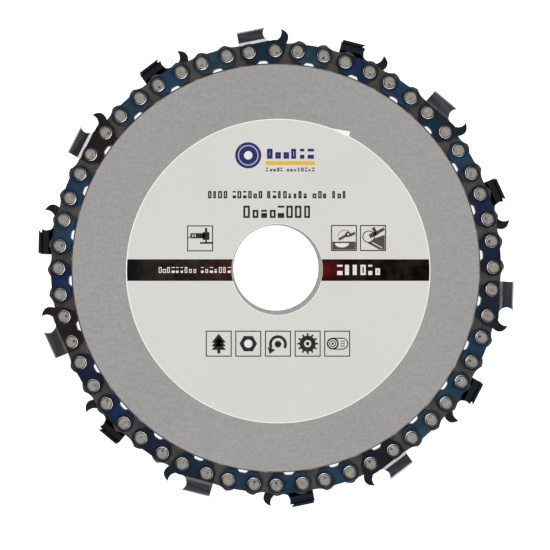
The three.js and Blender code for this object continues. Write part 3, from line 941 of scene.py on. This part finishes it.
def cutter_mesh():
    holes = []
    for pin in pins(OUTER_HALF_ANGLE):
        ring = circle(pin, SHANK_RADIUS + 0.03, 24)
        holes.append([(x, y - HEAD_SLOPE * x) for x, y in ring])
    bm = solid([rounded(blank_outline(), 0.12, 2)] + holes, 0, 1, 0.1, 2)
    bend(bm)
    blank = mesh_of("cutter_blank", bm)
    tool = bpy.data.objects.new("file", file_cutter())
    scene.collection.objects.link(tool)
    cut = evaluated(blank, [("BOOLEAN", {"operation": "DIFFERENCE", "solver": "EXACT", "object": tool})])
    bpy.data.objects.remove(tool)
    cut.name = "cutter"
    cut.shade_smooth()
    cut.set_sharp_from_angle(angle=math.radians(35))
    return cut


def mark_ground(mesh, flipped=False):
    """Gives the filed faces the second material."""
    for polygon in mesh.polygons:
        points = [mesh.vertices[i].co for i in polygon.vertices]
        if flipped:
            points = [Vector((p.x, p.y, -p.z)) for p in points]
        polygon.material_index = int(all(file_gap(p) < 0.02 for p in points))


# a rivet head's section as (radius, height below its top): the spun crown, a step and the rim
HEAD_SECTION = (
    (0.4, 0.0), (0.8, 0.003), (1.15, 0.008), (1.28, 0.02), (1.33, 0.06), (1.36, 0.14),
    (1.4, 0.2), (1.46, 0.215), (1.52, 0.225), (1.6, 0.255), (1.68, 0.31), (1.73, 0.38), (1.74, 0.45),
)


def rivet_mesh(name, dent_place, dent_radius, dent_depth, dent_darkening, steps=32):
    """A rivet about its own axis: a shank and two spun heads, each with a dent, and a point attribute that says how
    much the dent's colour is darkened.
    """
    bm = bmesh.new()
    dents = []

    def point(x, y, side, drop):
        low = math.hypot(x - dent_place[0], y - dent_place[1]) / dent_radius
        dent = max(0, 1 - low * low) ** 1.2 if low < 1 else 0
        dents.append(dent * dent_darkening)
        return bm.verts.new((x * MM, y * MM, side * (RIVET_TOP - drop - dent_depth * dent) * MM))

    def turned_ring(radius, side, drop):
        angles = [2 * math.pi * i / steps for i in range(steps)]
        return [point(radius * math.cos(a), radius * math.sin(a), side, drop) for a in angles]

    ends = []
    for side in (-1, 1):
        centre = point(0, 0, side, 0)
        loops = [turned_ring(radius, side, drop) for radius, drop in HEAD_SECTION]
        loops.append(turned_ring(SHANK_RADIUS, side, RIVET_TOP - STRAP_OUTER))
        for i in range(steps):
            bm.faces.new((centre, loops[0][i], loops[0][(i + 1) % steps]))
        for a, b in zip(loops, loops[1:]):
            for i in range(steps):
                j = (i + 1) % steps
                bm.faces.new((a[i], a[j], b[j], b[i]))
        ends.append(loops[-1])
    for i in range(steps):
        j = (i + 1) % steps
        bm.faces.new((ends[0][i], ends[0][j], ends[1][j], ends[1][i]))
    mesh = mesh_of(name, bm, 50)
    attribute = mesh.attributes.new("dent", "FLOAT", "POINT")
    attribute.data.foreach_set("value", dents)
    return mesh


def drive_mesh():
    holes = [circle(pin, DRIVE_HOLE, 24) for pin in pins(DRIVE_HALF_ANGLE)]
    return weighted(mesh_of("drive", solid([drive_outline()] + holes, -DRIVE_HALF, DRIVE_HALF, 0.1)))


# tints of the blued straps, as (dark, light) linear colours
STRAP_TINTS = {
    "navy": ((0.010, 0.017, 0.044), (0.017, 0.036, 0.093)),
    "blue": ((0.013, 0.029, 0.053), (0.024, 0.057, 0.097)),
    "teal": ((0.016, 0.034, 0.048), (0.031, 0.066, 0.089)),
    "indigo": ((0.011, 0.014, 0.031), (0.019, 0.026, 0.058)),
}

# tints of the cutters, as (dark, light, heat tint between the rivets)
CUTTER_TINTS = {
    "black": ((0.008, 0.009, 0.012), (0.018, 0.019, 0.024), (0.012, 0.016, 0.024)),
    "blue": ((0.008, 0.010, 0.014), (0.017, 0.020, 0.028), (0.010, 0.029, 0.050)),
    "brown": ((0.011, 0.009, 0.010), (0.023, 0.018, 0.019), (0.016, 0.014, 0.017)),
}


def build_chain():
    step = 2 * math.pi / LINKS

    straps = {}
    plain = strap_mesh()
    for tint, colors in STRAP_TINTS.items():
        material = blued_steel("blued_steel_" + tint, *colors)
        for side, mesh in (("front", plain), ("back", mirrored(plain, "strap_back"))):
            made = weighted(mesh)
            made.materials.append(material)
            straps[side, tint] = made

    bright = ground_steel()
    cutter = cutter_mesh()
    cutters = {}
    for tint, colors in CUTTER_TINTS.items():
        material = cutter_steel("cutter_steel_" + tint, *colors)
        for side, mesh in (("front", cutter), ("back", mirrored(cutter, "cutter_back"))):
            made = weighted(mesh)
            made.materials.append(material)
            made.materials.append(bright)
            mark_ground(made, side == "back")
            cutters[side, tint] = made

    spun = rivet_steel()
    rivets = []
    # each rivet kind: dent place, dent radius, dent depth and how much the dent's colour is darkened
    for k, (place, radius, depth, dent_darkening) in enumerate((
        ((0.0, -0.62), 0.55, 0.18, 1), ((-0.3, -0.5), 0.8, 0.12, 0.25), ((0.32, -0.62), 0.5, 0.16, 0.9),
        ((0.05, -0.3), 0.95, 0.1, 0.12), ((0.1, -0.1), 0.8, 0.06, 0.3), ((-0.2, -0.4), 0.7, 0.1, 0.5),
    )):
        made = weighted(rivet_mesh(f"rivet_{k}", place, radius, depth, dent_darkening))
        made.materials.append(spun)
        rivets.append(made)

    drive = drive_mesh()
    drive.materials.append(drive_steel())

    order = ("tie", "back_cutter", "tie", "front_cutter")
    counts = {}
    for i in range(LINKS):
        kind = order[i % 4]
        counts[kind] = counts.get(kind, 0) + 1
        label = f"{kind}_{counts[kind]:02d}"
        node = f"{kind}_link_{counts[kind]:02d}"
        turn = FIRST_LINK_TURN + i * step
        for side in ("front", "back"):
            if kind == f"{side}_cutter":
                tint = dice.choice(list(CUTTER_TINTS))
                piece(f"{label}_tooth", cutters[side, tint], "chain", [node], turn)
            else:
                tint = dice.choice(list(STRAP_TINTS))
                nodes = [node] if kind == "tie" and side == "front" else []
                piece(f"{label}_strap_{side}", straps[side, tint], "chain", nodes, turn)
        for k, pin in enumerate(pins(OUTER_HALF_ANGLE)):
            piece(f"{label}_rivet_{k + 1}", dice.choice(rivets), "chain", (), turn, pin)
        piece(f"drive_{i + 1:02d}", drive, "chain", [f"drive_link_{i + 1:02d}"], turn + step / 2)


# ---- stage -------------------------------------------------------------------------------------

FLOOR_GLOW = 0.8  # the floor is a light table, so that no shadow shows on it

def softbox(name, azimuth, elevation, distance, size, radiance, only=None, aimed_at=None):
    """A rectangular light that faces the disc. azimuth is in degrees clockwise from +Y, distance in
    metres, size width and height in metres, only may be "glossy" or "diffuse", and aimed_at is the
    start, or starts, of the material names of the pieces that it lights, if not all."""
    data = bpy.data.lights.new(name, "AREA")
    data.shape = "RECTANGLE"
    data.size, data.size_y = size
    data.energy = radiance * math.pi * size[0] * size[1]
    lamp = bpy.data.objects.new(name, data)
    turn, rise = math.radians(azimuth), math.radians(elevation)
    level = distance * math.cos(rise)
    lamp.location = (level * math.sin(turn), level * math.cos(turn), distance * math.sin(rise))
    lamp.rotation_mode = "QUATERNION"
    lamp.rotation_quaternion = (-lamp.location).to_track_quat("-Z", "Y")
    lamp.visible_camera = False
    lamp.visible_diffuse = only != "glossy"
    lamp.visible_glossy = only != "diffuse"
    scene.collection.objects.link(lamp)
    if aimed_at:
        lit = bpy.data.collections.new(name + "_lit")
        for thing in scene.objects:
            if thing.type == "MESH" and thing.data.materials[0].name.startswith(aimed_at):
                lit.objects.link(thing)
        lamp.light_linking.receiver_collection = lit


def build_stage():
    bpy.ops.mesh.primitive_plane_add(size=4)
    floor = bpy.context.object
    floor.name = "floor"
    floor.location.z = cad_box[0].z - 0.0002
    s = Shader("floor_paint", roughness=0.9, specular_ior_level=0.0, emission_strength=FLOOR_GLOW)
    s.surface.inputs["Base Color"].default_value = (0.9, 0.9, 0.9, 1)
    s.surface.inputs["Emission Color"].default_value = (1, 1, 1, 1)
    floor.data.materials.append(s.material)

    world = bpy.data.worlds.new("studio")
    world.use_nodes = True
    scene.world = world
    tree = world.node_tree
    direction = tree.nodes.new("ShaderNodeTexCoord").outputs["Generated"]
    split = tree.nodes.new("ShaderNodeSeparateXYZ")
    ramp = tree.nodes.new("ShaderNodeValToRGB")
    tree.links.new(direction, split.inputs[0])
    tree.links.new(split.outputs["Z"], ramp.inputs[0])
    tree.links.new(ramp.outputs["Color"], tree.nodes["Background"].inputs["Color"])
    for element, height, level in zip(ramp.color_ramp.elements, (0.1, 0.85), (0.1, 1.0)):
        element.position = height
        element.color = (level, level, level, 1)

    softbox("fill", 330, 70, 1.2, (1.0, 1.0), 1.6, "diffuse")
    softbox("low_right", 138, 12, 0.8, (1.6, 0.22), 3.5, "glossy", ("cutter_steel", "rivet_steel"))
    softbox("high_left", 320, 12, 0.8, (1.5, 0.22), 2.5, "glossy", ("cutter_steel", "rivet_steel"))
    softbox("low_right_rim", 138, 12, 0.8, (1.6, 0.22), 1.5, "glossy", ("plate_steel", "blued_steel"))
    softbox("over_centre", 0, 90, 0.055, (0.06, 0.06), 3, "glossy", "rivet_steel")

    scene.view_settings.view_transform = "Standard"
    scene.view_settings.look = "None"


def build_camera():
    """Straight down on the disc, which sits a little above the middle of the picture."""
    picture_width, distance = 143.17, 700.0
    aim = (-0.23, -1.85)
    data = bpy.data.cameras.new("camera")
    data.sensor_width = 36
    data.lens = 36 * distance / picture_width
    camera = bpy.data.objects.new("camera", data)
    camera.location = (aim[0] * MM, aim[1] * MM, (distance + plate_high) * MM)
    data.clip_start, data.clip_end = 0.05, 10
    scene.collection.objects.link(camera)
    scene.camera = camera


build_disc()
build_label()
build_print()
build_chain()
build_camera()
build_stage()
